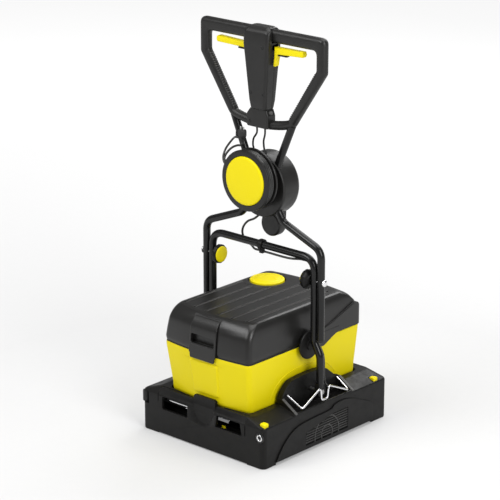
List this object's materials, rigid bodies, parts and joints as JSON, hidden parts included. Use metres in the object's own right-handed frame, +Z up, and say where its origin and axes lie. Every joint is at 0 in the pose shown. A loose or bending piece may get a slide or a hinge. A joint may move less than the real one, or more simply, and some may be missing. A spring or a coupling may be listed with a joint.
{
  "type": "floor scrubber machine",
  "caption": "Walk-behind twin-roller floor scrubber with a low black deck, a yellow tank under a black lid, and a folding tube handle that carries a cable reel.",
  "frame": {"origin": "on the floor, under the centre of the deck's footprint", "axes": "+Z up, X along the brush rollers (working width, +X is the drive side), -Y towards the wall with the two slots and the lid latch"},
  "size_m": [0.474, 0.536, 1.169],
  "materials": {
    "deck_black": "fine moulded grain",
    "lid_black": "fine moulded grain",
    "yellow": "semi-gloss moulded",
    "black_paint": "gloss powder coat",
    "chrome": "bright plated",
    "steel": "machined",
    "rubber": "matt",
    "bristle": "nylon bristle",
    "cord": "smooth flexible sheath"
  },
  "bodies": {
    "chassis": {"deck_shell": "deck_black", "drive_cover": "deck_black", "side_cover_left": "deck_black", "eyelet_ring": "chrome", "water_feed_pipe": "steel", "brush_motor": "steel", "suction_turbine": "deck_black", "drive_belt": "rubber", "pivot_pin_left": "steel", "pivot_pin_right": "steel"},
    "deflector": {"deflector_roller": "rubber"},
    "button_front": {"corner_button_front": "yellow"},
    "button_rear": {"corner_button_rear": "yellow"},
    "brush_front": {"brush_roller_front": "bristle", "brush_shaft_front": "steel"},
    "brush_rear": {"brush_roller_rear": "bristle", "brush_shaft_rear": "steel"},
    "motor_rotor": {"motor_pulley": "steel"},
    "squeegee_front": {"squeegee_front": "deck_black", "squeegee_lip_front": "rubber"},
    "squeegee_rear": {"squeegee_rear": "deck_black", "squeegee_lip_rear": "rubber"},
    "tank": {"tank": "yellow"},
    "lid": {"lid": "lid_black", "lid_seal": "rubber", "filter_basket": "deck_black"},
    "latch": {"lid_latch": "lid_black"},
    "cap": {"filler_cap": "yellow"},
    "lower_frame": {"lower_frame": "black_paint", "stop_disc_left": "deck_black", "stop_disc_right": "deck_black", "fold_bolt_left": "chrome", "fold_bolt_right": "chrome", "frame_cable": "cord"},
    "knob_left": {"clamp_knob_left": "deck_black", "knob_insert_left": "yellow"},
    "knob_right": {"clamp_knob_right": "deck_black", "knob_insert_right": "yellow"},
    "wire_left": {"wire_bow_left": "chrome"},
    "wire_right": {"wire_bow_right": "chrome"},
    "upper_handle": {"push_tube_left": "black_paint", "push_tube_right": "black_paint", "handle_loop": "deck_black", "brace_tube": "black_paint", "handle_bracket": "deck_black", "switch_housing_front": "deck_black", "switch_housing_back": "deck_black", "switch_block": "deck_black", "reel_housing": "deck_black", "reel_spindle": "steel", "mains_plug": "rubber", "cord_tail": "cord", "handle_cable_left": "cord", "handle_cable_right": "cord", "reel_lead": "cord"},
    "trigger_left": {"trigger_left": "yellow"},
    "trigger_right": {"trigger_right": "yellow"},
    "reel": {"reel_drum": "deck_black", "cord_winding": "cord", "reel_disc": "yellow"}
  },
  "joints": [
    {"name": "frame_tilt", "type": "hinge", "parent": "chassis", "child": "lower_frame", "pos_m": [0, -0.012, 0.155], "axis": [1, 0, 0], "range_deg": [-35, 35]},
    {"name": "handle_fold", "type": "hinge", "parent": "lower_frame", "child": "upper_handle", "pos_m": [0, -0.012, 0.477], "axis": [-1, 0, 0], "range_deg": [0, 88]},
    {"name": "knob_left_turn", "type": "hinge", "parent": "lower_frame", "child": "knob_left", "pos_m": [-0.17, -0.012, 0.477], "axis": [1, 0, 0], "continuous": true},
    {"name": "knob_right_turn", "type": "hinge", "parent": "lower_frame", "child": "knob_right", "pos_m": [0.17, -0.012, 0.477], "axis": [1, 0, 0], "continuous": true},
    {"name": "wire_left_swing", "type": "hinge", "parent": "chassis", "child": "wire_left", "pos_m": [-0.184, 0, 0.16], "axis": [0, 1, 0], "range_deg": [0, 6], "stiffness_Nm_per_rad": 4},
    {"name": "wire_right_swing", "type": "hinge", "parent": "chassis", "child": "wire_right", "pos_m": [0.184, 0, 0.16], "axis": [0, -1, 0], "range_deg": [0, 6], "stiffness_Nm_per_rad": 4},
    {"name": "trigger_left_press", "type": "hinge", "parent": "upper_handle", "child": "trigger_left", "pos_m": [-0.054, -0.012, 1.109], "axis": [0, 1, 0], "range_deg": [0, 3.5], "stiffness_Nm_per_rad": 2},
    {"name": "trigger_right_press", "type": "hinge", "parent": "upper_handle", "child": "trigger_right", "pos_m": [0.051, -0.012, 1.112], "axis": [0, -1, 0], "range_deg": [0, 3.5], "stiffness_Nm_per_rad": 2},
    {"name": "reel_spin", "type": "hinge", "parent": "upper_handle", "child": "reel", "pos_m": [0, -0.06, 0.743], "axis": [0, 1, 0], "continuous": true},
    {"name": "brush_rear_spin", "type": "hinge", "parent": "chassis", "child": "brush_rear", "pos_m": [0, 0.058, 0.051], "axis": [1, 0, 0], "continuous": true},
    {"name": "brush_front_spin", "type": "hinge", "parent": "chassis", "child": "brush_front", "pos_m": [0, -0.058, 0.051], "axis": [1, 0, 0], "continuous": true},
    {"name": "motor_spin", "type": "hinge", "parent": "chassis", "child": "motor_rotor", "pos_m": [0.1, 0.15, 0.062], "axis": [1, 0, 0], "continuous": true},
    {"name": "squeegee_front_drop", "type": "slide", "parent": "chassis", "child": "squeegee_front", "axis": [0, 0, 1], "range_m": [-0.0065, 0.0065]},
    {"name": "squeegee_rear_drop", "type": "slide", "parent": "chassis", "child": "squeegee_rear", "axis": [0, 0, 1], "range_m": [-0.0065, 0.0065]},
    {"name": "tank_lift", "type": "slide", "parent": "chassis", "child": "tank", "axis": [0, 0, 1], "range_m": [0, 0.02]},
    {"name": "lid_lift", "type": "slide", "parent": "tank", "child": "lid", "axis": [0, 0, 1], "range_m": [0, 0.02]},
    {"name": "latch_swing", "type": "hinge", "parent": "lid", "child": "latch", "pos_m": [0, -0.2405, 0.38], "axis": [-1, 0, 0], "range_deg": [0, 35]},
    {"name": "cap_turn", "type": "hinge", "parent": "lid", "child": "cap", "pos_m": [-0.084, 0.101, 0.39], "axis": [0, 0, 1], "range_deg": [0, 90]},
    {"name": "button_front_press", "type": "slide", "parent": "chassis", "child": "button_front", "axis": [0, 0, -1], "range_m": [0, 0.004], "stiffness_N_per_m": 400},
    {"name": "button_rear_press", "type": "slide", "parent": "chassis", "child": "button_rear", "axis": [0, 0, -1], "range_m": [0, 0.004], "stiffness_N_per_m": 400},
    {"name": "deflector_turn", "type": "hinge", "parent": "chassis", "child": "deflector", "pos_m": [-0.2265, -0.2575, 0.1], "axis": [0, 0, 1], "continuous": true}
  ],
  "couplings": [
    {"joint": "brush_front_spin", "follows": "brush_rear_spin", "ratio": -1},
    {"joint": "motor_spin", "follows": "brush_rear_spin", "ratio": 1.4286},
    {"joint": "squeegee_front_drop", "follows": "frame_tilt", "m_per_rad": 0.01},
    {"joint": "squeegee_rear_drop", "follows": "frame_tilt", "m_per_rad": -0.01}
  ]
}
